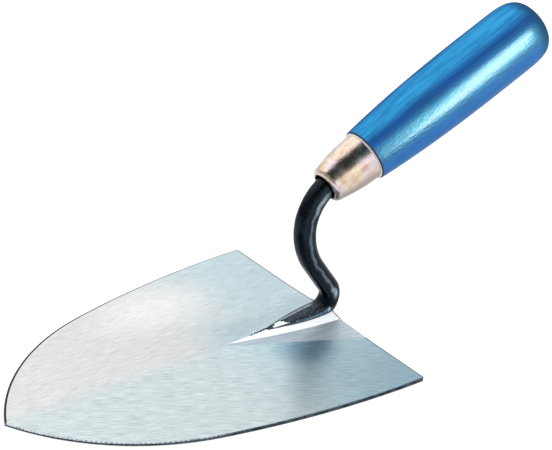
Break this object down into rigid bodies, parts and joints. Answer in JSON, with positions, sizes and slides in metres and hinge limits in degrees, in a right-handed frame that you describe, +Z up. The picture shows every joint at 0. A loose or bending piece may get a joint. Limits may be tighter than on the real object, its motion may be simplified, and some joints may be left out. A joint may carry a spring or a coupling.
{
  "type": "brick trowel",
  "caption": "Brick trowel: flat heart-shaped steel blade, forged swan neck welded at its heel, tapered ferrule and turned wooden handle raised above the blade.",
  "frame": {"origin": "on the blade's flat underside, on the centre line, in the middle of the blade's length", "axes": "+X from the blade's tip towards its heel and the handle, +Y to the left of that, +Z up from the blade's underside"},
  "size_m": [0.3069, 0.15, 0.1389],
  "materials": {
    "blade_steel": "ground steel with fine brush lines",
    "weld_steel": "bright ground weld",
    "neck_lacquer": "gloss black lacquer on a forged surface",
    "ferrule_steel": "plated steel, half bright",
    "handle_wood": "blue gloss lacquer on turned wood"
  },
  "bodies": {
    "root": {"blade": "blade_steel", "weld_fillet": "weld_steel", "neck": "neck_lacquer", "ferrule": "ferrule_steel", "handle": "handle_wood"}
  },
  "joints": []
}
